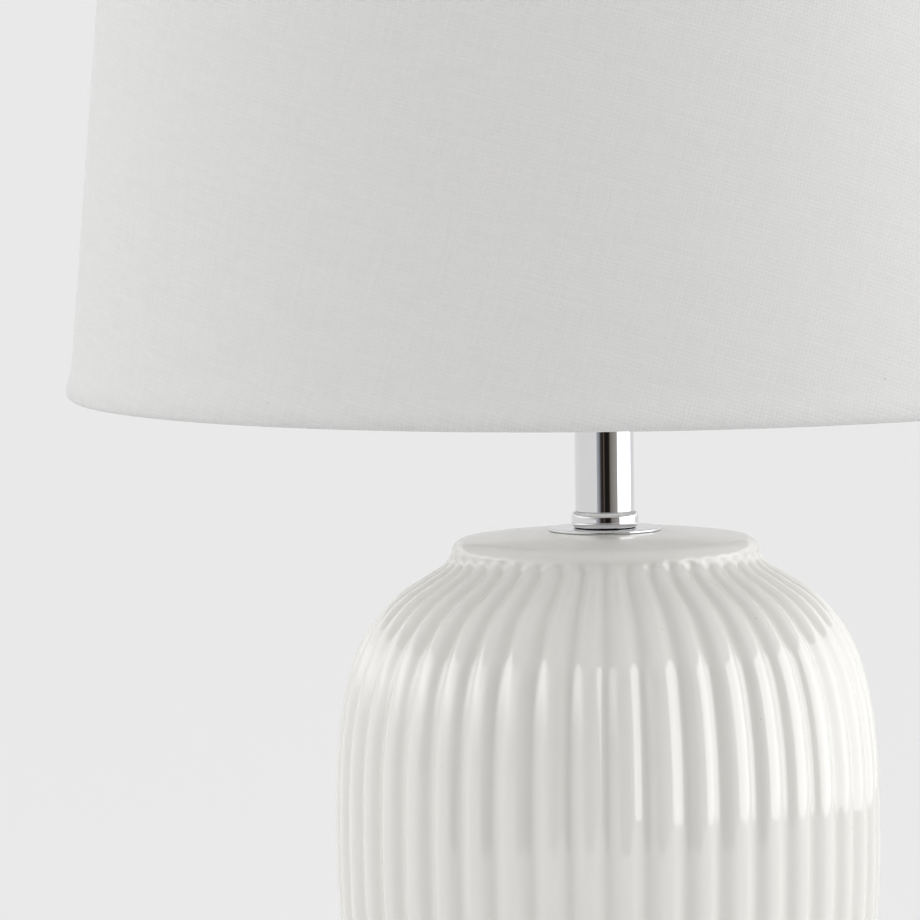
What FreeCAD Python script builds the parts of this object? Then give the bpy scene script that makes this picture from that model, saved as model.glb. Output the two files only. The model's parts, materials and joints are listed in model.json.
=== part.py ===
import FreeCAD, Part
import math
import os

"""Table lamp: ribbed ceramic body, chrome neck, E27 lampholder, fabric drum shade and LED bulb.

Millimetres, +Z up. The origin is the centre of the footprint, at the underside of the felt base.
The cable leaves at the back, towards +Y. The lamp is an upright stack on one threaded tube.
"""

Vector = FreeCAD.Vector
UP = Vector(0, 0, 1)
ORIGIN = Vector(0, 0, 0)

# ---- driving dimensions -------------------------------------------------------------------------

# ceramic body
body_height = 209.8         # foot ring to the middle of the top face
body_radius = 96.6          # crests of the ribs at the belly
belly_drop = 102.8          # top face to the widest place
top_landing_radius = 13.0   # flat middle of the top face, under the collar
top_face_radius = 50.0
top_crown = 2.6             # fall of the top face from the landing to its edge
rim_rounding = 5.5          # edge between the top face and the neck band
foot_radius = 68.0
foot_band = 12.0            # smooth band under the ribs
foot_taper = 0.6            # the band is narrower at the floor by this
foot_rounding = 1.2
wall = 5.5
top_thickness = 7.0
floor_thickness = 6.0
recess_height = 18.0        # space under the floor for the nut and the cable
floor_opening_radius = 24.0
rib_count = 44
rib_depth = 2.3             # crest to groove at the belly
rib_sharpness = 1.7         # above 1 the grooves are narrower than the ribs
rib_fade = 0.045            # share of the shoulder over which the ribs rise out of the smooth band

# shoulder and flank: share of the way from band to belly, share of the way out from band to belly
SWELL = [
    (0.0, 0.0), (0.041, 0.062), (0.093, 0.246), (0.147, 0.435), (0.22, 0.604),
    (0.33, 0.773), (0.477, 0.893), (0.70, 0.976), (1.0, 1.0),
]

# base
felt_thickness = 2.0
felt_inset = 3.0            # felt edge inside the foot's edge
plate_radius = 36.0
plate_thickness = 2.0
lock_washer_radius = 8.5
lock_washer_thickness = 1.2
lock_washer_slit = 1.2

# threaded tube, M10 x 1, with its nut
tube_radius = 4.95
tube_bore_radius = 3.9
tube_fit = 0.05             # radial clearance of threaded pieces on the tube
hole_clearance = 0.4        # radial clearance of plain holes round the tube
nut_height = 5.0
nut_flats = 17.0
nut_chamfer = 0.6
tube_below_nut = 2.5
tube_past_boss = 1.0        # tube's end inside the lampholder's cap

# cable inlet at the back of the foot
cable_hole_radius = 4.5
bush_bore_radius = 3.2
bush_fit = 0.1
bush_flange_radius = 5.8
bush_flange_thickness = 2.0
bush_rounding = 0.8
bush_inner_reach = 1.5      # barrel's end past the recess wall
cable_above_band = 1.0      # inlet's axis above the middle of the foot band
spot_face_depth = 1.0

# chrome neck
disc_radius = 20.0
disc_thickness = 1.0
collar_height = 5.8
collar_bead_radius = 11.95
collar_foot_radius = 10.4
collar_foot_height = 1.3
collar_bead_step = 0.8      # how far the bead stands out of its own edges
collar_seat_step = 0.5      # bead's top edge to the neck tube's seat
neck_radius = 10.5
neck_wall = 1.0
neck_length = 56.0

# lampholder, E27
holder_radius = 19.75
holder_wall = 2.0
cap_boss_radius = 12.0
cap_boss_height = 6.0
cap_height = 22.0
cap_rounding = 6.0
ledge_width = 1.75
skirt_height = 34.0
skirt_lip_thickness = 2.0
skirt_chamfer = 1.0
shoulder_width = 2.75       # the skirt's shoulder stands out of its side by this
shoulder_thickness = 3.0
shoulder_height = 6.0       # skirt's lower rim to the shoulder's underside
core_clearance = 0.15
core_below_rim = 10.0       # how far the core reaches down into the cap
core_above_rim = 5.0
shell_radius = 13.6         # inside of the screw shell
shell_wall = 0.4
shell_height = 25.0
shell_floor_hole = 9.0
contact_width = 5.0
contact_thickness = 0.5
contact_rise = 4.0
contact_foot_length = 3.0
contact_past_centre = 2.5
grub_radius = 1.5
grub_length = 6.0
grub_slot_width = 0.5
grub_slot_depth = 1.6
terminal_offset = 11.0
terminal_radius = 1.5
terminal_head_radius = 3.0
terminal_head_height = 2.2
terminal_length = 10.0
terminal_slot_width = 0.8
terminal_slot_depth = 0.9

# shade ring nut
ring_clearance = 0.3
ring_wall = 3.55
ring_flange_width = 4.4     # beyond the nut's body
ring_flange_thickness = 2.5
ring_height = 10.0
ring_grips = 24
ring_grip_radius = 0.9
ring_chamfer = 0.7

# shade
shade_bottom_radius = 190.0
shade_top_radius = 170.0
shade_height = 240.0
shade_clear_of_body = 49.2  # body's top face to the shade's lower hem
wire_radius = 2.0
cover_thickness = 0.5
liner_thickness = 0.4
liner_outset = 0.4          # liner's inner face outside the line between the wires
liner_wire_gap = 0.2        # liner's edge to the wire
hem_run_length = 9.0        # length over which the fabric runs on to the wire
flap_length = 6.0           # turned-in fabric above the hem run
fitter_thickness = 2.0
fitter_clearance = 0.35
fitter_width = 7.4
arm_count = 3
arm_first_angle = 90.0
arm_weld_flat = 0.4         # depth of the flat pressed on the arm under the fitter ring
arm_inner_gap = 1.5         # holder's shoulder to the arm's inner end
arm_level_length = 8.0
arm_outer_level = 14.0
arm_bend_radius = 14.0
arm_notch_clearance = 0.4

# bulb, E27, 60 mm globe
bulb_gap = 0.4              # centre contact to the bulb's tip at rest
tip_radius = 4.5
tip_height = 1.5
insulator_radius = 9.0
insulator_height = 3.5
bulb_cap_radius = 12.9
bulb_cap_wall = 0.5
bulb_cap_height = 22.0
housing_height = 30.0
housing_radius = 25.0
housing_wall = 1.5
globe_radius = 30.0
globe_wall = 1.0
board_thickness = 1.2
board_drop = 1.0            # board's face below the globe's seat
housing_bow = 0.46          # share of the flare reached at half height

# ---- places worked out from the dimensions ------------------------------------------------------

foot_z = felt_thickness
top_z = foot_z + body_height
belly_z = top_z - belly_drop
crown_width = top_face_radius - top_landing_radius
rim_lean = math.atan(2 * top_crown / crown_width)
neck_band_radius = top_face_radius + rim_rounding * (1 - math.sin(rim_lean))
neck_band_z = top_z - top_crown - rim_rounding * math.cos(rim_lean)
recess_roof_z = foot_z + recess_height
cavity_floor_z = recess_roof_z + floor_thickness
cavity_ceiling_z = top_z - top_thickness
recess_radius = foot_radius - wall - rib_depth

plate_z = recess_roof_z - plate_thickness
washer_z = plate_z - lock_washer_thickness
nut_z = washer_z - nut_height
tube_bottom_z = nut_z - tube_below_nut
cable_z = foot_z + foot_band / 2 + cable_above_band
spot_face_y = foot_radius - spot_face_depth

collar_z = top_z + disc_thickness
neck_z = collar_z + collar_height
holder_z = neck_z + neck_length
skirt_z = holder_z + cap_height
tube_top_z = holder_z + cap_boss_height + tube_past_boss
core_bottom_z = skirt_z - core_below_rim
core_top_z = skirt_z + core_above_rim
holder_bore_radius = holder_radius - holder_wall
core_radius = holder_bore_radius - core_clearance
shoulder_radius = holder_radius + shoulder_width
shoulder_z = skirt_z + shoulder_height
fitter_z = shoulder_z + shoulder_thickness
fitter_bore_radius = holder_radius + fitter_clearance
fitter_radius = fitter_bore_radius + fitter_width
ring_z = fitter_z + fitter_thickness
ring_bore_radius = holder_radius + ring_clearance
ring_body_radius = ring_bore_radius + ring_wall
ring_flange_radius = ring_body_radius + ring_flange_width

shade_bottom_z = top_z + shade_clear_of_body
hem_radius = wire_radius + cover_thickness
arm_radius = wire_radius     # arms and rings are bent from the same wire
liner_end_gap = wire_radius + liner_wire_gap
lower_wire = (shade_bottom_radius - hem_radius, shade_bottom_z + hem_radius)
upper_wire = (shade_top_radius - hem_radius, shade_bottom_z + shade_height - hem_radius)

bulb_z = core_top_z + contact_rise + contact_thickness + bulb_gap
insulator_z = bulb_z + tip_height
bulb_cap_z = insulator_z + insulator_height
housing_z = bulb_cap_z + bulb_cap_height
globe_z = housing_z + housing_height


# ---- helpers ------------------------------------------------------------------------------------

def cylinder(radius, z_low, z_high, x=0.0, y=0.0):
    return Part.makeCylinder(radius, z_high - z_low, Vector(x, y, z_low), UP)


def ring(inner, outer, z_low, z_high):
    return cylinder(outer, z_low, z_high).cut(cylinder(inner, z_low, z_high))


def in_section(point):
    """A (radius, height) pair as a point in the section plane y = 0."""
    return Vector(point[0], 0, point[1])


def line(start, end):
    return Part.LineSegment(in_section(start), in_section(end)).toShape()


def arc(start, middle, end):
    return Part.Arc(in_section(start), in_section(middle), in_section(end)).toShape()


def corner_arc(centre, radius, from_angle, to_angle):
    """Arc about a centre in the section plane, angles in degrees from outwards towards up."""
    ends = []
    for angle in (from_angle, (from_angle + to_angle) / 2, to_angle):
        turn = math.radians(angle)
        ends.append((centre[0] + radius * math.cos(turn), centre[1] + radius * math.sin(turn)))
    return arc(*ends)


def spline(points):
    curve = Part.BSplineCurve()
    curve.interpolate([in_section(point) for point in points])
    return curve.toShape()


def turned(edges):
    """Solid of revolution about Z from a closed section."""
    return Part.Face(Part.Wire(edges)).revolve(ORIGIN, UP, 360)


def turned_polygon(points):
    closed = points + [points[0]]
    return turned([line(a, b) for a, b in zip(closed, closed[1:])])


def save(name, shape):
    solids = shape.Solids
    clean = solids[0] if len(solids) == 1 else Part.makeCompound(solids)
    clean.exportStep(os.path.join("parts", name + ".step"))
    print(f"{name}: {len(solids)} solid, {clean.Volume / 1000:.2f} cm3, valid {clean.isValid()}")


# ---- ceramic body -------------------------------------------------------------------------------

def swell_points(band_radius, band_z, wide_radius, wide_z):
    """The outline from a band to the belly, as (radius, height) pairs."""
    points = []
    for along, out in SWELL:
        radius = band_radius + out * (wide_radius - band_radius)
        points.append((radius, band_z + along * (wide_z - band_z)))
    return points


def outside_samples():
    """Points down the outside from the top face's landing to the foot, as (radius, height)."""
    band_foot_z = foot_z + foot_band
    samples = []
    for step in range(10):
        share = step / 10
        samples.append((top_landing_radius + share * crown_width, top_z - top_crown * share ** 2))
    for step in range(7):
        turn = (math.pi / 2 - rim_lean) * (1 - step / 7)
        radius = neck_band_radius - rim_rounding * (1 - math.cos(turn))
        samples.append((radius, neck_band_z + rim_rounding * math.sin(turn)))
    shoulder = swell_points(neck_band_radius, neck_band_z, body_radius, belly_z)
    flank = swell_points(foot_radius, band_foot_z, body_radius, belly_z)
    flank.reverse()
    side = spline(shoulder + flank[1:])
    samples += [(point.x, point.z) for point in side.discretize(46)]
    foot_edge_z = foot_z + foot_rounding
    edge_radius = foot_radius - foot_taper
    for share in (0.33, 0.66, 1.0):
        samples.append((foot_radius - share * foot_taper, band_foot_z + share * (foot_edge_z - band_foot_z)))
    for turn in (math.radians(-30), math.radians(-60), math.radians(-90)):
        radius = edge_radius - foot_rounding + foot_rounding * math.cos(turn)
        samples.append((radius, foot_edge_z + foot_rounding * math.sin(turn)))
    return samples


def rib_depth_at(radius, z):
    """Ribs rise out of the smooth bands at the neck and foot, and follow the girth between."""
    from_neck = (neck_band_z - z) / (neck_band_z - belly_z)
    from_foot = (z - foot_z - foot_band) / (belly_z - foot_z - foot_band)
    share = min(max(min(from_neck, from_foot) / rib_fade, 0.0), 1.0)
    eased = share * share * (3 - 2 * share)
    return rib_depth * eased * radius / body_radius


def rib_shape(across):
    """0 on a rib's crest, 1 in the groove; across runs from -0.5 to 0.5."""
    return (0.5 - 0.5 * math.cos(2 * math.pi * across)) ** rib_sharpness


def along_shares(points):
    """How far along the line through them each point lies, from 0 to 1."""
    lengths = [0.0]
    for start, end in zip(points, points[1:]):
        lengths.append(lengths[-1] + start.distanceToPoint(end))
    return [length / lengths[-1] for length in lengths]


def line_through(points, places):
    """A smooth curve that passes each point at its place."""
    curve = Part.BSplineCurve()
    curve.interpolate(Points=points, Parameters=places)
    return curve


def rib_face():
    """One rib from groove to groove, from the top face to the foot."""
    pitch = 2 * math.pi / rib_count
    first = -math.pi / 2
    steps = 8
    grid = []
    for step in range(steps + 1):
        across = step / steps - 0.5
        angle = first + (across + 0.5) * pitch
        row = []
        for radius, z in outside_samples():
            reach = radius - rib_depth_at(radius, z) * rib_shape(across)
            row.append(Vector(reach * math.cos(angle), reach * math.sin(angle), z))
        grid.append(row)
    down = along_shares(grid[steps // 2])
    over = [step / steps for step in range(steps + 1)]
    lines = [line_through(row, down) for row in grid]
    columns = []
    for number in range(1, lines[0].NbPoles + 1):
        columns.append(line_through([line.getPole(number) for line in lines], over))
    poles = []
    for number in range(1, columns[0].NbPoles + 1):
        poles.append([column.getPole(number) for column in columns])
    surface = Part.BSplineSurface()
    surface.buildFromPolesMultsKnots(
        poles, columns[0].getMultiplicities(), lines[0].getMultiplicities(),
        columns[0].getKnots(), lines[0].getKnots(), False, False, 3, 3)
    return surface.toShape()


def flat_cap(faces, z):
    """The flat face that closes the ribbed skin at one height."""
    edges = []
    for face in faces:
        for edge in face.Edges:
            if abs(edge.BoundBox.ZMin - z) < 0.01 and abs(edge.BoundBox.ZMax - z) < 0.01:
                edges.append(edge)
    return Part.Face(Part.Wire(Part.__sortEdges__(edges)))


def make_ceramic_body():
    rib = rib_face()
    ribs = []
    for number in range(rib_count):
        ribs.append(rib.rotated(ORIGIN, UP, 360 * number / rib_count))
    shell = Part.Shell(ribs + [flat_cap(ribs, top_z), flat_cap(ribs, foot_z)])
    shell.sewShape(0.01)
    outside = Part.Solid(shell.Shells[0] if shell.ShapeType != "Shell" else shell)
    if outside.Volume < 0:
        outside.reverse()
    cavity_radius = body_radius - rib_depth - wall
    upper = swell_points(neck_band_radius - wall, cavity_ceiling_z, cavity_radius, belly_z)
    lower = swell_points(recess_radius, cavity_floor_z, cavity_radius, belly_z)
    lower.reverse()
    cavity = turned([
        line((0, cavity_ceiling_z), upper[0]),
        spline(upper + lower[1:]),
        line(lower[-1], (0, cavity_floor_z)),
        line((0, cavity_floor_z), (0, cavity_ceiling_z)),
    ])
    body = outside.cut(cavity)
    body = body.cut(cylinder(tube_radius + hole_clearance, cavity_ceiling_z - 1, top_z + 1))
    body = body.cut(cylinder(floor_opening_radius, recess_roof_z - 1, cavity_floor_z + 1))
    body = body.cut(cylinder(recess_radius, foot_z - 1, recess_roof_z))
    start = Vector(0, recess_radius - 2, cable_z)
    body = body.cut(Part.makeCylinder(cable_hole_radius, foot_radius, start, Vector(0, 1, 0)))
    start = Vector(0, spot_face_y, cable_z)
    spot = Part.makeCylinder(bush_flange_radius + hole_clearance, foot_radius, start, Vector(0, 1, 0))
    return body.cut(spot)


# ---- base ---------------------------------------------------------------------------------------

def make_cable_bush():
    along = Vector(0, 1, 0)
    inner_y = recess_radius - bush_inner_reach
    outer_y = spot_face_y + bush_flange_thickness
    start = Vector(0, inner_y, cable_z)
    barrel = Part.makeCylinder(cable_hole_radius - bush_fit, outer_y - inner_y, start, along)
    start = Vector(0, spot_face_y, cable_z)
    flange = Part.makeCylinder(bush_flange_radius, bush_flange_thickness, start, along)
    bush = barrel.fuse(flange).removeSplitter()
    start = Vector(0, inner_y - 1, cable_z)
    bush = bush.cut(Part.makeCylinder(bush_bore_radius, outer_y - inner_y + 2, start, along))
    rims = []
    for edge in bush.Edges:
        box = edge.BoundBox
        if abs(box.YMin - outer_y) < 0.01 and box.XLength > 2 * bush_flange_radius - 0.1:
            rims.append(edge)
    return bush.makeFillet(min(bush_rounding, bush_flange_thickness / 2.5), rims)


def make_hex_nut():
    corner = nut_flats / 2 / math.cos(math.pi / 6)
    points = []
    for side in range(7):
        turn = math.radians(60 * side)
        points.append(Vector(corner * math.cos(turn), corner * math.sin(turn), nut_z))
    prism = Part.Face(Part.makePolygon(points)).extrude(Vector(0, 0, nut_height))
    barrel = turned_polygon([
        (0, nut_z), (nut_flats / 2, nut_z), (corner, nut_z + nut_chamfer),
        (corner, nut_z + nut_height), (0, nut_z + nut_height),
    ])
    return prism.common(barrel).cut(cylinder(tube_radius + tube_fit, nut_z, nut_z + nut_height))


def make_lock_washer():
    washer = ring(tube_radius + hole_clearance, lock_washer_radius, washer_z, plate_z)
    corner = Vector(0, -lock_washer_slit / 2, washer_z)
    slit = Part.makeBox(2 * lock_washer_radius, lock_washer_slit, lock_washer_thickness, corner)
    return washer.cut(slit)


def make_base_pieces():
    save("base_felt", cylinder(foot_radius - felt_inset, 0, felt_thickness))
    bore = tube_radius + hole_clearance
    save("base_plate", ring(bore, plate_radius, plate_z, recess_roof_z))
    save("base_lock_washer", make_lock_washer())
    save("base_nut", make_hex_nut())
    save("threaded_tube", ring(tube_bore_radius, tube_radius, tube_bottom_z, tube_top_z))
    save("cable_bush", make_cable_bush())


# ---- chrome neck --------------------------------------------------------------------------------

def make_top_disc():
    edge = disc_thickness / 2
    bore = tube_radius + hole_clearance
    middle = top_z + edge
    return turned([
        line((bore, top_z), (disc_radius - edge, top_z)),
        corner_arc((disc_radius - edge, middle), edge, -90, 90),
        line((disc_radius - edge, collar_z), (bore, collar_z)),
        line((bore, collar_z), (bore, top_z)),
    ])


def make_collar_ring():
    """Foot that flares a little, then a bead, then the seat of the neck tube."""
    bore = tube_radius + hole_clearance
    bead_low = collar_z + collar_foot_height
    bead_high = neck_z - collar_seat_step
    bead_middle = (bead_low + bead_high) / 2
    bead_root = collar_bead_radius - collar_bead_step
    return turned([
        line((bore, collar_z), (collar_foot_radius, collar_z)),
        line((collar_foot_radius, collar_z), (bead_root, bead_low)),
        arc((bead_root, bead_low), (collar_bead_radius, bead_middle), (bead_root, bead_high)),
        line((bead_root, bead_high), (neck_radius, neck_z)),
        line((neck_radius, neck_z), (bore, neck_z)),
        line((bore, neck_z), (bore, collar_z)),
    ])


def make_neck_pieces():
    save("top_disc", make_top_disc())
    save("collar_ring", make_collar_ring())
    save("neck_tube", ring(neck_radius - neck_wall, neck_radius, neck_z, holder_z))


# ---- lampholder ---------------------------------------------------------------------------------

def make_holder_cap():
    boss_z = holder_z + cap_boss_height
    rim = skirt_z
    cavity_z = boss_z + holder_wall
    ledge_radius = holder_bore_radius - ledge_width
    bore = tube_radius + tube_fit
    shoulder_end = boss_z + cap_rounding
    outside = [
        line((bore, holder_z), (cap_boss_radius, holder_z)),
        line((cap_boss_radius, holder_z), (cap_boss_radius, boss_z)),
        line((cap_boss_radius, boss_z), (holder_radius - cap_rounding, boss_z)),
        corner_arc((holder_radius - cap_rounding, shoulder_end), cap_rounding, -90, 0),
        line((holder_radius, shoulder_end), (holder_radius, rim)),
    ]
    inside = [
        line((holder_radius, rim), (holder_bore_radius, rim)),
        line((holder_bore_radius, rim), (holder_bore_radius, core_bottom_z)),
        line((holder_bore_radius, core_bottom_z), (ledge_radius, core_bottom_z)),
        line((ledge_radius, core_bottom_z), (holder_radius - cap_rounding, cavity_z)),
        line((holder_radius - cap_rounding, cavity_z), (bore, cavity_z)),
        line((bore, cavity_z), (bore, holder_z)),
    ]
    cap = turned(outside + inside)
    return cap.cut(grub_cylinder(cap_boss_radius + 1))


def grub_cylinder(outer_radius):
    """Radial cylinder in the boss, from the tube's surface outwards."""
    z = holder_z + cap_boss_height / 2
    start = Vector(-tube_radius - tube_fit, 0, z)
    length = outer_radius - tube_radius - tube_fit
    return Part.makeCylinder(grub_radius, length, start, Vector(-1, 0, 0))


def make_grub_screw():
    outer = tube_radius + tube_fit + grub_length
    screw = grub_cylinder(outer)
    z = holder_z + cap_boss_height / 2 - grub_slot_width / 2
    corner = Vector(-outer, -grub_radius, z)
    slot = Part.makeBox(grub_slot_depth, 2 * grub_radius, grub_slot_width, corner)
    return screw.cut(slot)


def terminal_places():
    return [(-terminal_offset, 0.0), (terminal_offset, 0.0)]


def make_terminal_screws():
    screws = []
    for x, y in terminal_places():
        shank = cylinder(terminal_radius, core_bottom_z, core_bottom_z + terminal_length, x, y)
        head_low = core_bottom_z - terminal_head_height
        head = cylinder(terminal_head_radius, head_low, core_bottom_z, x, y)
        corner = Vector(x - terminal_head_radius, y - terminal_slot_width / 2, head_low)
        slot = Part.makeBox(2 * terminal_head_radius, terminal_slot_width, terminal_slot_depth, corner)
        screws.append(shank.fuse(head).removeSplitter().cut(slot))
    return Part.makeCompound(screws)


def make_holder_core():
    core = cylinder(core_radius, core_bottom_z, core_top_z)
    hole_top = core_bottom_z + terminal_length
    for x, y in terminal_places():
        core = core.cut(cylinder(terminal_radius, core_bottom_z, hole_top, x, y))
    return core


def make_centre_contact():
    """Sprung leaf: a foot on the core and a tongue that rises to the bulb's tip."""
    foot_end = -shell_floor_hole + contact_thickness
    bend = foot_end + contact_foot_length
    far_end = contact_past_centre
    lean = contact_thickness / 2
    top = core_top_z + contact_rise
    outline = [
        (foot_end, core_top_z), (bend, core_top_z), (-far_end, top), (far_end, top),
        (far_end, top + contact_thickness), (-far_end - lean, top + contact_thickness),
        (bend - lean, core_top_z + contact_thickness), (foot_end, core_top_z + contact_thickness),
    ]
    points = [Vector(x, -contact_width / 2, z) for x, z in outline + outline[:1]]
    return Part.Face(Part.makePolygon(points)).extrude(Vector(0, contact_width, 0))


def make_screw_shell():
    outer = shell_radius + shell_wall
    shell = ring(shell_radius, outer, core_top_z, core_top_z + shell_height)
    floor = ring(shell_floor_hole, outer, core_top_z, core_top_z + shell_wall)
    return shell.fuse(floor).removeSplitter()


def make_holder_skirt():
    top = skirt_z + skirt_height
    lip_radius = shell_radius + shell_wall + core_clearance
    return turned_polygon([
        (holder_bore_radius, skirt_z), (holder_radius, skirt_z), (holder_radius, shoulder_z),
        (shoulder_radius, shoulder_z), (shoulder_radius, fitter_z), (holder_radius, fitter_z),
        (holder_radius, top - skirt_chamfer), (holder_radius - skirt_chamfer, top), (lip_radius, top),
        (lip_radius, top - skirt_lip_thickness), (holder_bore_radius, top - skirt_lip_thickness),
    ])


def make_shade_ring():
    bore = ring_bore_radius
    flange_top = ring_z + ring_flange_thickness
    top = ring_z + ring_height
    nut = turned_polygon([
        (bore, ring_z), (ring_flange_radius - ring_chamfer, ring_z),
        (ring_flange_radius, ring_z + ring_chamfer),
        (ring_flange_radius, flange_top), (ring_body_radius, flange_top),
        (ring_body_radius, top - ring_chamfer), (ring_body_radius - ring_chamfer, top), (bore, top),
    ])
    for grip in range(ring_grips):
        turn = 2 * math.pi * grip / ring_grips
        reach = ring_body_radius + ring_grip_radius / 3
        nut = nut.cut(cylinder(ring_grip_radius, flange_top, top,
                               reach * math.cos(turn), reach * math.sin(turn)))
    return nut


def make_holder_pieces():
    save("lampholder_cap", make_holder_cap())
    save("cap_grub_screw", make_grub_screw())
    save("lampholder_core", make_holder_core())
    save("terminal_screws", make_terminal_screws())
    save("centre_contact", make_centre_contact())
    save("screw_shell", make_screw_shell())
    save("lampholder_skirt", make_holder_skirt())
    save("shade_ring", make_shade_ring())


# ---- shade --------------------------------------------------------------------------------------

def shade_frame():
    """Unit vectors of the shade's side in the section: up the side, and outwards from it."""
    run = upper_wire[0] - lower_wire[0]
    rise = upper_wire[1] - lower_wire[1]
    length = math.hypot(run, rise)
    return (run / length, rise / length), (rise / length, -run / length), length


def on_side(up, out):
    """Point at a distance up the side from the lower wire's centre, and out from the wire line."""
    along, outward, _ = shade_frame()
    return (lower_wire[0] + up * along[0] + out * outward[0],
            lower_wire[1] + up * along[1] + out * outward[1])


def tangent_place(up, out, radius, side):
    """Where the line from (up, out) touches a circle at (0, 0); side is 1 outside, -1 inside."""
    reach = math.hypot(up, out)
    towards = math.atan2(out, up)
    turn = towards + side * math.acos(radius / reach)
    return radius * math.cos(turn), radius * math.sin(turn)


def hem_edge(face_out, radius, side, length, flip):
    """Side's face down to where it touches the hem's circle, as (up, out) pairs."""
    touch = tangent_place(hem_run_length, face_out, radius, side)
    start = (hem_run_length, face_out)
    if flip:
        return (length - start[0], start[1]), (length - touch[0], touch[1])
    return start, touch


def make_lower_wire():
    return Part.makeTorus(lower_wire[0], wire_radius, Vector(0, 0, lower_wire[1]))


def make_upper_wire():
    return Part.makeTorus(upper_wire[0], wire_radius, Vector(0, 0, upper_wire[1]))


def make_liner():
    length = shade_frame()[2]
    inner = liner_outset
    outer = liner_outset + liner_thickness
    return turned_polygon([
        on_side(liner_end_gap, inner), on_side(liner_end_gap, outer),
        on_side(length - liner_end_gap, outer), on_side(length - liner_end_gap, inner),
    ])


def make_cover():
    """Fabric: turned-in flap, round the lower wire, up the outside, round the upper wire, flap."""
    length = shade_frame()[2]
    side_in = liner_outset + liner_thickness
    side_out = side_in + cover_thickness
    flap_out = liner_outset
    flap_in = liner_outset - cover_thickness
    flap_end = hem_run_length + flap_length
    inner = wire_radius
    outer = hem_radius

    def low(edge_out, radius, side):
        return hem_edge(edge_out, radius, side, length, False)

    def high(edge_out, radius, side):
        return hem_edge(edge_out, radius, side, length, True)

    def segment(a, b):
        return line(on_side(*a), on_side(*b))

    def round_wire(start, end, radius, base):
        middle = (base - radius if base == 0 else base + radius, 0)
        return arc(on_side(*start), on_side(*middle), on_side(*end))

    skin_low = low(side_out, outer, 1)
    skin_high = high(side_out, outer, 1)
    fold_low = low(flap_in, outer, -1)
    fold_high = high(flap_in, outer, -1)
    back_low = low(side_in, inner, 1)
    back_high = high(side_in, inner, 1)
    turn_low = low(flap_out, inner, -1)
    turn_high = high(flap_out, inner, -1)
    outside = [
        segment((flap_end, flap_in), fold_low[0]), segment(*fold_low),
        round_wire(fold_low[1], skin_low[1], outer, 0), segment(skin_low[1], skin_low[0]),
        segment(skin_low[0], skin_high[0]), segment(*skin_high),
        round_wire(skin_high[1], fold_high[1], outer, length), segment(fold_high[1], fold_high[0]),
        segment(fold_high[0], (length - flap_end, flap_in)),
        segment((length - flap_end, flap_in), (length - flap_end, flap_out)),
    ]
    inside = [
        segment((length - flap_end, flap_out), turn_high[0]), segment(*turn_high),
        round_wire(turn_high[1], back_high[1], inner, length), segment(back_high[1], back_high[0]),
        segment(back_high[0], back_low[0]), segment(*back_low),
        round_wire(back_low[1], turn_low[1], inner, 0), segment(turn_low[1], turn_low[0]),
        segment(turn_low[0], (flap_end, flap_out)),
        segment((flap_end, flap_out), (flap_end, flap_in)),
    ]
    cover = turned(outside + inside)
    for number in range(arm_count):
        cover = cover.cut(arm_notch(number))
    return cover


def arm_angle(number):
    return arm_first_angle + 360.0 * number / arm_count


def arm_notch(number):
    """Room in the fabric's turned-in hem for an arm where it meets the lower wire."""
    start = Vector(lower_wire[0] - arm_outer_level, 0, lower_wire[1])
    radius = arm_radius + arm_notch_clearance
    length = arm_outer_level + arm_notch_clearance
    room = Part.makeCylinder(radius, length, start, Vector(1, 0, 0))
    return room.rotated(ORIGIN, UP, arm_angle(number))


def make_arm(number, lower_ring, fitter):
    """Bent wire from under the fitter ring down and out to the lower wire."""
    top = fitter_z + arm_weld_flat - arm_radius
    inner = shoulder_radius + arm_inner_gap
    corners = [
        (inner, top), (inner + arm_level_length, top),
        (lower_wire[0] - arm_outer_level, lower_wire[1]), lower_wire,
    ]
    edges = []
    start = corners[0]
    for before, corner, after in zip(corners, corners[1:], corners[2:]):
        into = unit(before, corner)
        away = unit(corner, after)
        turn = math.acos(into[0] * away[0] + into[1] * away[1])
        trim = arm_bend_radius * math.tan(turn / 2)
        first = (corner[0] - into[0] * trim, corner[1] - into[1] * trim)
        last = (corner[0] + away[0] * trim, corner[1] + away[1] * trim)
        bulge = arm_bend_radius * (1 / math.cos(turn / 2) - 1)
        across = unit((0, 0), (away[0] - into[0], away[1] - into[1]))
        middle = (corner[0] + across[0] * bulge, corner[1] + across[1] * bulge)
        edges.append(line(start, first))
        edges.append(arc(first, middle, last))
        start = last
    edges.append(line(start, corners[-1]))
    circle = Part.makeCircle(arm_radius, in_section(corners[0]), Vector(1, 0, 0))
    arm = Part.Wire(edges).makePipeShell([Part.Wire([circle])], True, True)
    arm = arm.rotated(ORIGIN, UP, arm_angle(number))
    return arm.cut(lower_ring).cut(fitter).Solids[0]


def unit(start, end):
    run = end[0] - start[0]
    rise = end[1] - start[1]
    length = math.hypot(run, rise)
    return run / length, rise / length


def make_shade_pieces():
    lower_ring = make_lower_wire()
    fitter = ring(fitter_bore_radius, fitter_radius, fitter_z, ring_z)
    save("fitter_ring", fitter)
    save("lower_wire", lower_ring)
    save("upper_wire", make_upper_wire())
    for number, place in enumerate(("rear", "left", "right")):
        save("spider_arm_" + place, make_arm(number, lower_ring, fitter))
    save("shade_liner", make_liner())
    save("shade_cover", make_cover())


# ---- bulb ---------------------------------------------------------------------------------------

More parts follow.
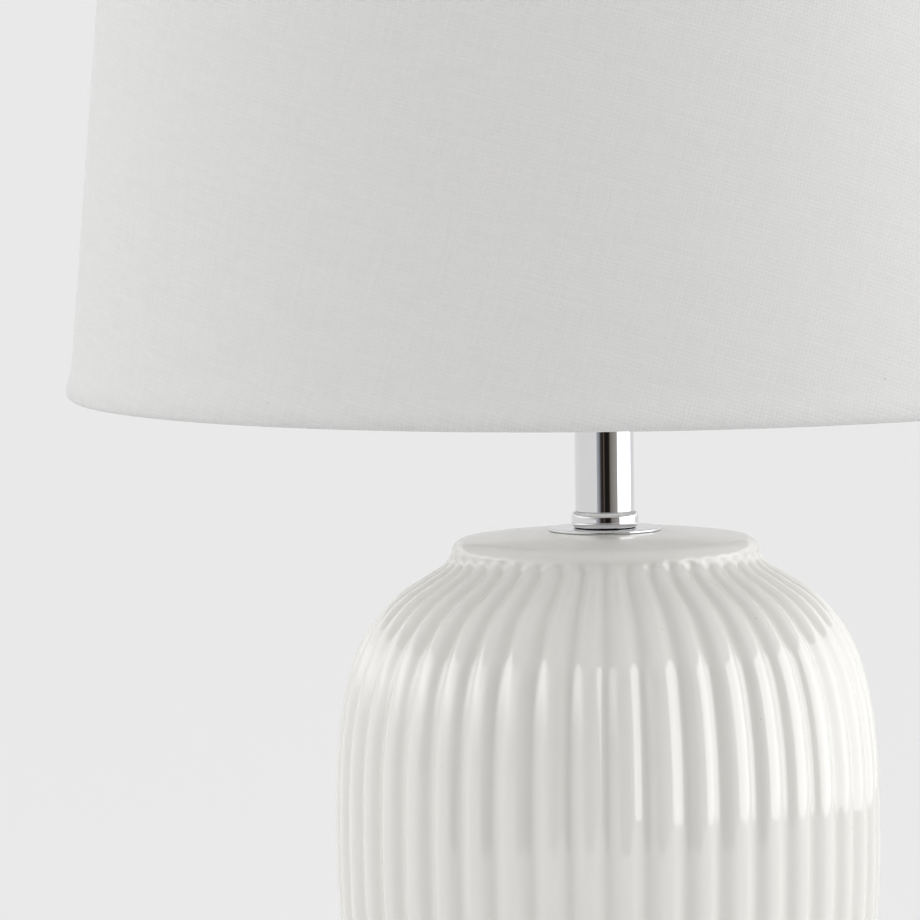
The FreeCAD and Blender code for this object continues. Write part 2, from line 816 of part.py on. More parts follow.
def make_bulb_cap():
    top = housing_z
    wide = bulb_cap_radius
    skin = bulb_cap_wall
    return turned_polygon([
        (insulator_radius - 1.5, bulb_cap_z), (insulator_radius + 1, bulb_cap_z),
        (wide, bulb_cap_z + 2.5), (wide, top), (wide - skin, top),
        (wide - skin, bulb_cap_z + 2.8), (insulator_radius + 0.8, bulb_cap_z + skin),
        (insulator_radius - 1.5, bulb_cap_z + skin),
    ])


def make_bulb_housing():
    skin = housing_wall
    neck = bulb_cap_radius
    half = neck + (housing_radius - neck) * housing_bow
    half_z = (housing_z + globe_z) / 2
    return turned([
        line((neck - skin, housing_z), (neck, housing_z)),
        arc((neck, housing_z), (half, half_z), (housing_radius, globe_z)),
        line((housing_radius, globe_z), (housing_radius - skin, globe_z)),
        arc((housing_radius - skin, globe_z), (half - skin, half_z), (neck - skin, housing_z)),
    ])


def make_led_board(housing):
    """Disc that fills the housing's mouth just below the globe's seat."""
    top = globe_z - board_drop
    return cylinder(housing_radius - housing_wall, top - board_thickness, top).cut(housing)


def make_globe():
    """Ball cut off where it meets the housing, with a hollow inside."""
    centre_z = globe_z + math.sqrt(globe_radius ** 2 - housing_radius ** 2)
    inner = globe_radius - globe_wall
    inner_edge = math.sqrt(inner ** 2 - (centre_z - globe_z) ** 2)
    return turned([
        line((inner_edge, globe_z), (housing_radius, globe_z)),
        arc((housing_radius, globe_z), (globe_radius, centre_z), (0, centre_z + globe_radius)),
        line((0, centre_z + globe_radius), (0, centre_z + inner)),
        arc((0, centre_z + inner), (inner, centre_z), (inner_edge, globe_z)),
    ])


def make_insulator():
    return turned_polygon([
        (0, insulator_z), (tip_radius + 0.5, insulator_z), (insulator_radius, bulb_cap_z),
        (0, bulb_cap_z),
    ])


def make_bulb_pieces():
    save("bulb_tip", cylinder(tip_radius, bulb_z, insulator_z))
    save("bulb_insulator", make_insulator())
    save("bulb_cap", make_bulb_cap())
    housing = make_bulb_housing()
    save("bulb_housing", housing)
    save("bulb_led_board", make_led_board(housing))
    save("bulb_globe", make_globe())


os.makedirs("parts", exist_ok=True)
save("ceramic_body", make_ceramic_body())
make_base_pieces()
make_neck_pieces()
make_holder_pieces()
make_shade_pieces()
make_bulb_pieces()
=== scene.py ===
# %% [markdown]
# # A table lamp: ribbed glazed body, chrome neck, fabric drum shade
#
# The real lamp is a stack on one threaded tube. A slip-cast, ribbed stoneware body stands on felt.
# On it sit a thin chrome disc, a collar and the neck tube, then the lampholder, whose shoulder
# carries the shade. This notebook keeps the measured frame of the lamp and dresses it.
# Everything is in metres, and the lamp stands on z = 0 with its back towards +Y.

# %% Load the frame
import json
import math
import random

import bpy
from mathutils import Matrix, Vector


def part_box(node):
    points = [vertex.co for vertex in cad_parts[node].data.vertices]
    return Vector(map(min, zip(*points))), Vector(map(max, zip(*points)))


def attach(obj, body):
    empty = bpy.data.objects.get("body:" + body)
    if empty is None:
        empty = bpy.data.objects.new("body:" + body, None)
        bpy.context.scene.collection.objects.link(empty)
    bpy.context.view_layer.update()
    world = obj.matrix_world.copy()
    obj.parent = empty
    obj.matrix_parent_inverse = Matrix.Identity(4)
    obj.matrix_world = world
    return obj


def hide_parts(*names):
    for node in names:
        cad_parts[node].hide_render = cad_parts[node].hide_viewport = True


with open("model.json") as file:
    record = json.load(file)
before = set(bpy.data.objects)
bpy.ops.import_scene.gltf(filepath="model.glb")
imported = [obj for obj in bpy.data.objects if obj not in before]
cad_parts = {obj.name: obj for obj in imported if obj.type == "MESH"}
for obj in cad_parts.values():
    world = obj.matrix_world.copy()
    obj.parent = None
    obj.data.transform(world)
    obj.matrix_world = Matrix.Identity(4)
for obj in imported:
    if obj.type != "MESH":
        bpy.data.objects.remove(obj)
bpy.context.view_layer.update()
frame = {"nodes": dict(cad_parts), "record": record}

MM = 0.001
TURN = 2 * math.pi

# %% [markdown]
# ## Sizes read from the frame
#
# Each piece asks the frame where its neighbours are, so the pieces drawn here meet the nodes that
# stay.

# %% Sizes
body_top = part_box("ceramic_body")[1].z
body_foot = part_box("ceramic_body")[0].z
body_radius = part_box("ceramic_body")[1].x
neck_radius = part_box("neck_tube")[1].x
neck_low, neck_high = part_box("neck_tube")[0].z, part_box("neck_tube")[1].z
lower_wire_z = (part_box("lower_wire")[0].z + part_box("lower_wire")[1].z) / 2
upper_wire_z = (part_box("upper_wire")[0].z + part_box("upper_wire")[1].z) / 2
wire_radius = (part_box("lower_wire")[1].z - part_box("lower_wire")[0].z) / 2
lower_wire_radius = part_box("lower_wire")[1].x - wire_radius
upper_wire_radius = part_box("upper_wire")[1].x - wire_radius
print("body", round(body_radius, 4), "neck", round(neck_radius, 4), "hem", round(lower_wire_z, 4))

# %% [markdown]
# ## Camera
#
# A long lens from a little above the shade's lower edge. The far camera keeps the rim's ellipse
# thin and the sides of the body nearly parallel. The shot is rolled by less than a degree.

# %% Camera
camera_distance = 3.2
camera_height = 0.494
camera_data = bpy.data.cameras.new("camera")
camera_data.lens = 354.8
camera_data.sensor_width = 36.0
camera_data.clip_end = 100.0
camera = bpy.data.objects.new("camera", camera_data)
bpy.context.scene.collection.objects.link(camera)
camera_pan = 0.01597
camera_tilt = -0.08009
camera_roll = 0.01189
turn = Matrix.Rotation(camera_pan, 4, "Z") @ Matrix.Rotation(math.pi / 2 + camera_tilt, 4, "X")
camera.matrix_world = (
    Matrix.Translation((0, -camera_distance, camera_height)) @ turn @ Matrix.Rotation(-camera_roll, 4, "Z")
)
bpy.context.scene.camera = camera

# %% [markdown]
# ## The studio
#
# The light is a studio painted on the world: pale walls, a darker side towards the camera, and
# the brightest side on the right. The walls are brighter higher up, where they light the shade and
# the shade keeps them off the body. A light at infinity has no falloff, so the pale floor stays
# even from front to back. What polished chrome and glaze show of a studio is its objects: a
# dark screen in front and a softbox at the side. Those are cards that only reflections see.

# %% Studio light
def ramp(nodes, stops, interpolation="LINEAR"):
    """A colour ramp with grey stops, each (position, brightness)."""
    node = nodes.new("ShaderNodeValToRGB")
    node.color_ramp.interpolation = interpolation
    while len(node.color_ramp.elements) < len(stops):
        node.color_ramp.elements.new(0.5)
    for element, (position, value) in zip(node.color_ramp.elements, stops):
        element.position = position
        element.color = (value, value, value, 1) if isinstance(value, float) else (*value, 1)
    return node


def math_node(nodes, links, operation, *inputs, clamp=False):
    """A Math node with its inputs linked or set, returning its output."""
    node = nodes.new("ShaderNodeMath")
    node.operation = operation
    node.use_clamp = clamp
    for socket, value in zip(node.inputs, inputs):
        if isinstance(value, (int, float)):
            socket.default_value = value
        else:
            links.new(value, socket)
    return node.outputs[0]


# %% Paint the walls of the studio
studio = bpy.data.worlds.new("studio")
bpy.context.scene.world = studio
studio.use_nodes = True
nodes, links = studio.node_tree.nodes, studio.node_tree.links
nodes.clear()
direction = nodes.new("ShaderNodeTexCoord").outputs["Generated"]
axes = nodes.new("ShaderNodeSeparateXYZ")
links.new(direction, axes.inputs[0])
away_from_front = math_node(nodes, links, "MULTIPLY", axes.outputs["Y"], -1.0)
angle = math_node(nodes, links, "ARCTAN2", axes.outputs["X"], away_from_front)
round_share = math_node(nodes, links, "MULTIPLY_ADD", angle, 1 / TURN, 0.5)


def share(degrees):
    """Place on the ramp of a direction, in degrees to the right of the front."""
    return 0.5 + degrees / 360


def blended(low, high, factor):
    """Two brightnesses of the world, mixed by a factor."""
    mix = nodes.new("ShaderNodeMix")
    mix.data_type = "FLOAT"
    links.new(factor, mix.inputs["Factor"])
    for value, socket in ((low, mix.inputs["A"]), (high, mix.inputs["B"])):
        if isinstance(value, float):
            socket.default_value = value
        else:
            links.new(value, socket)
    return mix.outputs["Result"]


def walls(stops):
    """Brightness of the studio's walls, each stop (degrees to the right of the front, brightness)."""
    ring = ramp(nodes, [(share(degrees), value) for degrees, value in stops])
    links.new(round_share, ring.inputs[0])
    return ring.outputs[0]


low_walls = walls([
    (-180, 0.95), (-130, 1.10), (-95, 1.15), (-60, 1.00), (-30, 0.55), (0, 0.34), (22, 0.50), (45, 1.45),
    (70, 2.60), (100, 2.60), (130, 1.50), (180, 0.95),
])
high_walls = walls([
    (-180, 1.00), (-130, 1.90), (-95, 4.10), (-60, 2.80), (-30, 0.50), (0, 0.12), (30, 0.55), (60, 3.10),
    (95, 5.00), (130, 2.20), (180, 1.00),
])
up_share = math_node(nodes, links, "MULTIPLY_ADD", axes.outputs["Z"], 0.5, 0.5)
climb = ramp(nodes, [(0.54, 0.0), (0.68, 1.0)], "EASE")
links.new(up_share, climb.inputs[0])
overhead = ramp(nodes, [(0.62, 0.0), (0.95, 1.0)], "EASE")
links.new(up_share, overhead.inputs[0])
light = blended(blended(low_walls, high_walls, climb.outputs[0]), 0.95, overhead.outputs[0])
background = nodes.new("ShaderNodeBackground")
links.new(light, background.inputs["Color"])
background.inputs["Strength"].default_value = 0.775
links.new(background.outputs[0], nodes.new("ShaderNodeOutputWorld").inputs["Surface"])
bpy.context.scene.view_settings.view_transform = "Standard"
bpy.context.scene.view_settings.look = "None"


# %% [markdown]
# ## Modelling by hand, in code
#
# Most pieces are turned shapes. By hand one would draw half the outline and spin it. The helpers
# below do that: a plane is collapsed to one vertex, the vertex is extruded along the outline, and
# the chain is spun about the Z axis. Everything else is deselected first, because an operator
# acts on all that is selected.

# %% Helpers for turned pieces
def nothing_selected():
    if bpy.context.object and bpy.context.object.mode != "OBJECT":
        bpy.ops.object.mode_set(mode="OBJECT")
    bpy.ops.object.select_all(action="DESELECT")


def drawn(name, points):
    """An edge chain through points, made by extruding one vertex. It stays in edit mode."""
    nothing_selected()
    bpy.ops.mesh.primitive_plane_add(size=MM)
    piece = bpy.context.object
    piece.name = piece.data.name = name
    bpy.ops.object.mode_set(mode="EDIT")
    bpy.ops.mesh.select_all(action="SELECT")
    bpy.ops.mesh.merge(type="CENTER")
    bpy.ops.mesh.select_mode(type="VERT")
    bpy.ops.mesh.select_all(action="SELECT")
    here = Vector(points[0])
    bpy.ops.transform.translate(value=here)
    for point in points[1:]:
        step = Vector(point) - here
        bpy.ops.mesh.extrude_region_move(TRANSFORM_OT_translate={"value": step})
        here = Vector(point)
    return piece


def spun(name, outline, steps=96, closed=True, smooth=35):
    """A turned piece from (radius, height) pairs. A closed outline joins its last point to its first."""
    points = [(radius, 0, z) for radius, z in outline]
    piece = drawn(name, points + points[:1] if closed else points)
    bpy.ops.mesh.select_all(action="SELECT")
    bpy.ops.mesh.remove_doubles(threshold=1e-6)
    bpy.ops.mesh.spin(steps=steps, angle=TURN, center=(0, 0, 0), axis=(0, 0, 1))
    bpy.ops.mesh.select_all(action="SELECT")
    bpy.ops.mesh.remove_doubles(threshold=2e-6)
    bpy.ops.mesh.normals_make_consistent(inside=False)
    bpy.ops.object.mode_set(mode="OBJECT")
    if smooth:
        bpy.ops.object.shade_smooth_by_angle(angle=math.radians(smooth))
    return piece


# %% Helpers for outlines
def rounded(outline, radii, steps=4):
    """A closed outline with its corners rounded; radii maps a corner's number to its radius."""
    result = []
    count = len(outline)
    for number, corner in enumerate(outline):
        if number not in radii:
            result.append(corner)
            continue
        here = Vector(corner)
        into = (here - Vector(outline[number - 1])).normalized()
        away = (Vector(outline[(number + 1) % count]) - here).normalized()
        bend = into.angle(away)
        trim = radii[number] * math.tan(bend / 2)
        start, end = here - into * trim, here + away * trim
        for step in range(steps + 1):
            t = step / steps
            point = start * (1 - t) ** 2 + here * 2 * t * (1 - t) + end * t ** 2
            result.append(tuple(point))
    return result


def curve_through(points, spacing):
    """Points evenly spaced along a smooth curve (Catmull-Rom) through a few chosen ones."""
    path = [Vector(p) for p in points]
    path = [2 * path[0] - path[1]] + path + [2 * path[-1] - path[-2]]
    dense = []
    for a, b, c, d in zip(path, path[1:], path[2:], path[3:]):
        for step in range(24):
            t = step / 24
            dense.append(0.5 * (2 * b + (c - a) * t + (2 * a - 5 * b + 4 * c - d) * t ** 2
                                + (3 * b - a - 3 * c + d) * t ** 3))
    dense.append(path[-2])
    length = sum((b - a).length for a, b in zip(dense, dense[1:]))
    count = max(2, round(length / spacing))
    result, walked, goal = [tuple(dense[0])], 0.0, length / count
    for a, b in zip(dense, dense[1:]):
        span = (b - a).length
        while span > 0 and walked + span >= goal and len(result) < count:
            result.append(tuple(a.lerp(b, (goal - walked) / span)))
            goal += length / count
        walked += span
    return result + [tuple(dense[-1])]


# %% Handing a piece to the frame
def finished(piece, body, replaced=(), material=None):
    """Hands a piece to the frame: its body, the nodes it stands for, and its finish."""
    nothing_selected()
    if replaced:
        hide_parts(*replaced)
    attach(piece, body)
    if material:
        piece.data.materials.clear()
        piece.data.materials.append(material)
    print(piece.name, len(piece.data.polygons), "faces")
    return piece


# %% [markdown]
# ## Shared effects
#
# Fine grain, hairlines, dust and weave turn up in more than one finish. Each is a node group
# with its own inputs, so that a material only says how much of it there is.

# %% Node group tools
def group(name, inputs, outputs):
    """A new shader group with float or vector sockets, and its input and output nodes."""
    tree = bpy.data.node_groups.new(name, "ShaderNodeTree")
    for socket, value in inputs.items():
        kind = "NodeSocketVector" if value is None else "NodeSocketFloat"
        made = tree.interface.new_socket(socket, in_out="INPUT", socket_type=kind)
        if value is not None:
            made.default_value = value
    for socket in outputs:
        tree.interface.new_socket(socket, in_out="OUTPUT", socket_type="NodeSocketFloat")
    return tree, tree.nodes.new("NodeGroupInput").outputs, tree.nodes.new("NodeGroupOutput").inputs


def noise(tree, vector, scale, detail=2.0, roughness=0.5):
    """Noise on a vector; the scale is a number or a socket. Returns the 0 to 1 value."""
    node = tree.nodes.new("ShaderNodeTexNoise")
    node.inputs["Detail"].default_value = detail
    node.inputs["Roughness"].default_value = roughness
    if isinstance(scale, (int, float)):
        node.inputs["Scale"].default_value = scale
    else:
        tree.links.new(scale, node.inputs["Scale"])
    tree.links.new(vector, node.inputs["Vector"])
    return node.outputs["Fac"]


def calc(tree, operation, *inputs, clamp=False):
    return math_node(tree.nodes, tree.links, operation, *inputs, clamp=clamp)


def combined(tree, x, y, z=0.0):
    node = tree.nodes.new("ShaderNodeCombineXYZ")
    for socket, value in zip(node.inputs, (x, y, z)):
        if isinstance(value, (int, float)):
            socket.default_value = value
        else:
            tree.links.new(value, socket)
    return node.outputs[0]


def split(tree, vector):
    node = tree.nodes.new("ShaderNodeSeparateXYZ")
    tree.links.new(vector, node.inputs[0])
    return node.outputs["X"], node.outputs["Y"], node.outputs["Z"]


# %% Grain: fine all-over texture of moulded and cast surfaces
def make_grain_group():
    tree, given, out = group("grain", {"Vector": None, "Scale": 900.0, "Broad": 40.0},
                             ["Height", "Tone"])
    fine = noise(tree, given["Vector"], given["Scale"], 3.0)
    broad = noise(tree, given["Vector"], given["Broad"], 2.0)
    tree.links.new(fine, out["Height"])
    tree.links.new(calc(tree, "MULTIPLY_ADD", broad, 0.7, calc(tree, "MULTIPLY", fine, 0.3)), out["Tone"])
    return tree


# %% Hairlines: turning or polishing marks that run round the Z axis
def make_hairline_group():
    tree, given, out = group("hairlines", {"Vector": None, "Lines": 2500.0}, ["Height", "Smear"])
    x, y, z = split(tree, given["Vector"])
    reach = calc(tree, "SQRT", calc(tree, "ADD", calc(tree, "MULTIPLY", x, x), calc(tree, "MULTIPLY", y, y)))
    across = combined(tree, calc(tree, "MULTIPLY", reach, given["Lines"]),
                      calc(tree, "MULTIPLY", z, given["Lines"]))
    lines = noise(tree, across, 1.0, 3.0, 0.6)
    smear = noise(tree, given["Vector"], 45.0, 3.0, 0.6)
    tree.links.new(lines, out["Height"])
    tree.links.new(smear, out["Smear"])
    return tree


# %% Dust: a trace of it on faces that look up
def make_dust_group():
    tree, given, out = group("dust", {"Vector": None, "Normal": None, "Amount": 0.2}, ["Mask"])
    up = split(tree, given["Normal"])[2]
    facing = calc(tree, "MULTIPLY_ADD", up, 1.6, -0.7, clamp=True)
    patches = noise(tree, given["Vector"], 160.0, 4.0, 0.65)
    spread = calc(tree, "MULTIPLY_ADD", patches, 2.4, -0.75, clamp=True)
    lying = calc(tree, "MULTIPLY", facing, spread)
    tree.links.new(calc(tree, "MULTIPLY", lying, given["Amount"]), out["Mask"])
    return tree


# %% Weave: plain weave on flat-pattern coordinates in metres, with slubs and thick threads
def make_weave_group():
    tree, given, out = group("weave", {"Vector": None, "Thread": 0.0008, "Slubs": 0.6},
                             ["Height", "Tone"])
    u, v, _ = split(tree, given["Vector"])
    wobble = calc(tree, "MULTIPLY_ADD", noise(tree, given["Vector"], 90.0, 2.0), 0.0016, -0.0008)
    u = calc(tree, "ADD", u, wobble)
    v = calc(tree, "ADD", v, wobble)
    warp_count = calc(tree, "DIVIDE", u, given["Thread"])
    weft_count = calc(tree, "DIVIDE", v, given["Thread"])
    warp = calc(tree, "ABSOLUTE", calc(tree, "SINE", calc(tree, "MULTIPLY", warp_count, math.pi)))
    weft = calc(tree, "ABSOLUTE", calc(tree, "SINE", calc(tree, "MULTIPLY", weft_count, math.pi)))
    cell = calc(tree, "ADD", calc(tree, "FLOOR", warp_count), calc(tree, "FLOOR", weft_count))
    over = calc(tree, "MODULO", calc(tree, "ABSOLUTE", cell), 2.0)
    warp_place = combined(tree, calc(tree, "FLOOR", warp_count), calc(tree, "MULTIPLY", v, 55.0))
    weft_place = combined(tree, calc(tree, "MULTIPLY", u, 45.0), calc(tree, "FLOOR", weft_count), 7.0)
    warp_slub = noise(tree, warp_place, 0.9, 2.0, 0.6)
    weft_slub = noise(tree, weft_place, 0.9, 2.0, 0.6)
    warp_body = calc(tree, "MULTIPLY", warp, calc(tree, "MULTIPLY_ADD", warp_slub, given["Slubs"], 0.45))
    weft_body = calc(tree, "MULTIPLY", weft, calc(tree, "MULTIPLY_ADD", weft_slub, given["Slubs"], 0.45))
    warp_top = calc(tree, "MULTIPLY_ADD", over, 0.5, 0.5)
    weft_top = calc(tree, "MULTIPLY_ADD", over, -0.5, 1.0)
    height = calc(tree, "MAXIMUM",
                  calc(tree, "MULTIPLY", warp_body, warp_top), calc(tree, "MULTIPLY", weft_body, weft_top))
    tree.links.new(height, out["Height"])
    slubs = calc(tree, "ADD", calc(tree, "MULTIPLY", warp_slub, 0.5), calc(tree, "MULTIPLY", weft_slub, 0.5))
    tree.links.new(calc(tree, "MULTIPLY_ADD", height, 0.35, calc(tree, "MULTIPLY", slubs, 0.65)), out["Tone"])
    return tree


# %% All the groups
GROUPS = {
    "grain": make_grain_group(),
    "hairlines": make_hairline_group(),
    "dust": make_dust_group(),
    "weave": make_weave_group(),
}
print("groups:", sorted(GROUPS))


# %% [markdown]
# ## Finishes
#
# Every finish starts from the same few lines: a Principled shader whose uniform values are set on
# its own sockets, and object coordinates, which are the lamp's own millimetre-true coordinates.

# %% Material tools
class Finish:
    """A material being built: its tree, its shader and its coordinates."""

    def __init__(self, name, color, roughness, **plain):
        self.material = bpy.data.materials.new(name)
        self.material.use_nodes = True
        self.tree = self.material.node_tree
        self.shader = self.tree.nodes["Principled BSDF"]
        self.shader.inputs["Base Color"].default_value = (*color, 1)
        self.shader.inputs["Roughness"].default_value = roughness
        for socket, value in plain.items():
            self.shader.inputs[socket.replace("_", " ")].default_value = value
        self.material.diffuse_color = (*color, 1)
        coordinates = self.tree.nodes.new("ShaderNodeTexCoord")
        self.place = coordinates.outputs["Object"]
        self.flat = coordinates.outputs["UV"]
        self.normal = coordinates.outputs["Normal"]

    def effect(self, name, vector=None, **values):
        node = self.tree.nodes.new("ShaderNodeGroup")
        node.node_tree = GROUPS[name]
        self.tree.links.new(vector or self.place, node.inputs["Vector"])
        for socket, value in values.items():
            if isinstance(value, (int, float)):
                node.inputs[socket].default_value = value
            else:
                self.tree.links.new(value, node.inputs[socket])
        return node.outputs

    def color_between(self, factor, low, high, stops=(0.0, 1.0)):
        node = ramp(self.tree.nodes, [(stops[0], low), (stops[1], high)])
        self.tree.links.new(factor, node.inputs[0])
        self.tree.links.new(node.outputs[0], self.shader.inputs["Base Color"])
        return node.outputs[0]

    def mixed(self, factor, first, second):
        node = self.tree.nodes.new("ShaderNodeMix")
        node.data_type = "RGBA"
        self.tree.links.new(factor, node.inputs["Factor"])
        for socket, value in ((node.inputs["A"], first), (node.inputs["B"], second)):
            if isinstance(value, tuple):
                socket.default_value = (*value, 1)
            else:
                self.tree.links.new(value, socket)
        self.tree.links.new(node.outputs["Result"], self.shader.inputs["Base Color"])
        return node.outputs["Result"]

    def roughness_between(self, factor, low, high):
        value = calc(self.tree, "MULTIPLY_ADD", factor, high - low, low)
        self.tree.links.new(value, self.shader.inputs["Roughness"])

    def bump(self, height, distance, strength=1.0, after=None):
        node = self.tree.nodes.new("ShaderNodeBump")
        node.inputs["Strength"].default_value = strength
        node.inputs["Distance"].default_value = distance
        self.tree.links.new(height, node.inputs["Height"])
        if after:
            self.tree.links.new(after, node.inputs["Normal"])
        self.tree.links.new(node.outputs[0], self.shader.inputs["Normal"])
        return node.outputs[0]


# %% [markdown]
# ### Glaze
#
# Clear gloss glaze over a white body. It flows a little before it sets, so it is thin and warm on
# the crests of the ribs and pools in the grooves, and its surface is never quite flat. The body's
# mesh carries an attribute that says how deep in a groove a point is.

# %% Glaze
def make_glaze():
    finish = Finish("glaze", (0.86, 0.85, 0.82), 0.03, Specular_IOR_Level=0.90)
    depth = finish.tree.nodes.new("ShaderNodeAttribute")
    depth.attribute_name = "groove"
    pools = finish.effect("grain", Scale=260.0, Broad=22.0)
    pooled = calc(finish.tree, "MULTIPLY", depth.outputs["Fac"], 0.55)
    amount = calc(finish.tree, "MULTIPLY_ADD", pools["Tone"], 0.22, pooled)
    tone = ramp(finish.tree.nodes, [(0.0, (0.862, 0.850, 0.818)), (0.75, (0.790, 0.777, 0.743))])
    finish.tree.links.new(amount, tone.inputs[0])
    speck = finish.tree.nodes.new("ShaderNodeTexVoronoi")
    speck.inputs["Scale"].default_value = 55.0
    finish.tree.links.new(finish.place, speck.inputs["Vector"])
    tiny = calc(finish.tree, "LESS_THAN", speck.outputs["Distance"], 0.022)
    finish.mixed(calc(finish.tree, "MULTIPLY", tiny, 0.35), tone.outputs[0], (0.42, 0.36, 0.28))
    up = split(finish.tree, finish.normal)[2]
    level = calc(finish.tree, "MULTIPLY_ADD", up, 6.0, -5.0, clamp=True)
    finish.roughness_between(calc(finish.tree, "MULTIPLY_ADD", pools["Tone"], 0.12, level), 0.02, 0.17)
    flow = noise(finish.tree, finish.place, 34.0, 1.0)
    first = finish.bump(flow, 0.0006, 0.14)
    finish.bump(pools["Height"], 0.00004, 0.25, after=first)
    return finish.material


# %% [markdown]
# ### Metals
#
# Chrome is nearly a mirror: only hairlines from polishing and a faint smear in its roughness.
# Zinc, brass, nickel and solder are the same recipe with other colours and rougher values.

# %% Metals
def make_metal(name, color, smooth, rough, lines=2500.0, mark=0.00001, strength=0.12):
    finish = Finish(name, color, smooth, Metallic=1.0)
    marks = finish.effect("hairlines", Lines=lines)
    dusty = finish.effect("dust", Normal=finish.normal, Amount=0.12)
    low = tuple(channel * 0.93 for channel in color)
    toned = ramp(finish.tree.nodes, [(0.3, low), (0.7, color)])
    finish.tree.links.new(marks["Smear"], toned.inputs[0])
    finish.mixed(dusty["Mask"], toned.outputs[0], (0.55, 0.54, 0.52))
    finish.roughness_between(marks["Smear"], smooth, rough)
    finish.bump(marks["Height"], mark, strength)
    return finish.material


# %% [markdown]
# ### Plastics, enamel and the other small finishes
#
# Moulded plastic and powder coat share one recipe: a fine grain in the bump, a slow drift of tone,
# and a trace of dust on top.

# %% Moulded and coated surfaces
def make_coated(name, color, smooth, rough, grain=900.0, distance=0.00002, strength=0.3, **plain):
    finish = Finish(name, color, smooth, **plain)
    surface = finish.effect("grain", Scale=grain, Broad=60.0)
    dusty = finish.effect("dust", Normal=finish.normal, Amount=0.25)
    low = tuple(channel * 0.94 for channel in color)
    toned = ramp(finish.tree.nodes, [(0.35, low), (0.65, color)])
    finish.tree.links.new(surface["Tone"], toned.inputs[0])
    finish.mixed(dusty["Mask"], toned.outputs[0], (0.66, 0.64, 0.61))
    finish.roughness_between(surface["Tone"], smooth, rough)
    finish.bump(surface["Height"], distance, strength)
    return finish.material


# %% [markdown]
# ### Cloth
#
# The shade's cover is a fine linen and cotton plain weave with slubs. The pattern runs on the
# cover's own UV map, which is the flat pattern it was cut to, in metres, so the threads keep their
# size and lean as they do on the real cone. Along the lower hem the cloth is painted darker, as
# painted shade where the hem turns under the wire.

# %% Cloth
# Band of painted shade along the lower hem: it starts this far below the lower wire and ends this far above
# it.
hem_shade_below, hem_shade_above = 2.5 * MM, 9.0 * MM


def make_cloth():
    finish = Finish("shade_fabric", (0.80, 0.795, 0.79), 0.9, Specular_IOR_Level=0.25)
    finish.shader.inputs["Sheen Weight"].default_value = 0.25
    finish.shader.inputs["Sheen Roughness"].default_value = 0.5
    weave = finish.effect("weave", vector=finish.flat, Thread=0.00075, Slubs=1.0)
    coarse = finish.effect("weave", vector=finish.flat, Thread=0.0013, Slubs=1.4)
    half_weave = calc(finish.tree, "MULTIPLY", weave["Tone"], 0.5)
    both = calc(finish.tree, "MULTIPLY_ADD", coarse["Tone"], 0.5, half_weave)
    # Painted shade along the lower hem: the tone is lowered most at the bottom of the band and eases back to
    # the plain cloth above it, where the hem turns under the wire.
    up = calc(finish.tree, "SUBTRACT", split(finish.tree, finish.place)[2], lower_wire_z - hem_shade_below)
    rolled = calc(finish.tree, "DIVIDE", up, hem_shade_above + hem_shade_below, clamp=True)
    shade = ramp(finish.tree.nodes, [(0.0, 0.0), (1.0, 1.0)], "EASE")
    finish.tree.links.new(rolled, shade.inputs[0])
    painted_hem_shade = 0.22
    lowered = calc(finish.tree, "SUBTRACT", both, painted_hem_shade)
    level = calc(finish.tree, "MULTIPLY_ADD", shade.outputs[0], painted_hem_shade, lowered)
    toned = ramp(finish.tree.nodes, [
        (0.10, (0.64, 0.635, 0.635)), (0.32, (0.745, 0.74, 0.737)), (0.68, (0.805, 0.80, 0.795)),
    ])
    finish.tree.links.new(level, toned.inputs[0])
    speck = finish.tree.nodes.new("ShaderNodeTexVoronoi")
    speck.inputs["Scale"].default_value = 28.0
    finish.tree.links.new(finish.place, speck.inputs["Vector"])
    tiny = calc(finish.tree, "LESS_THAN", speck.outputs["Distance"], 0.012)
    finish.mixed(calc(finish.tree, "MULTIPLY", tiny, 0.5), toned.outputs[0], (0.35, 0.30, 0.25))
    first = finish.bump(weave["Height"], 0.00012, 0.5)
    finish.bump(coarse["Height"], 0.00016, 0.5, after=first)
    return finish.material


# %% Felt and lining
def make_felt():
    finish = Finish("felt", (0.58, 0.56, 0.53), 0.95, Specular_IOR_Level=0.2)
    finish.shader.inputs["Sheen Weight"].default_value = 0.4
    fibres = finish.effect("grain", Scale=1400.0, Broad=120.0)
    finish.color_between(fibres["Tone"], (0.50, 0.48, 0.45), (0.63, 0.61, 0.58), (0.35, 0.65))
    finish.bump(fibres["Height"], 0.0004, 0.6)
    return finish.material


def make_styrene():
    finish = Finish("shade_lining", (0.84, 0.84, 0.83), 0.55, Specular_IOR_Level=0.35)
    surface = finish.effect("grain", Scale=700.0, Broad=25.0)
    finish.color_between(surface["Tone"], (0.81, 0.808, 0.80), (0.86, 0.858, 0.85), (0.35, 0.65))
    finish.roughness_between(surface["Tone"], 0.5, 0.62)
    finish.bump(surface["Height"], 0.00003, 0.3)
    return finish.material


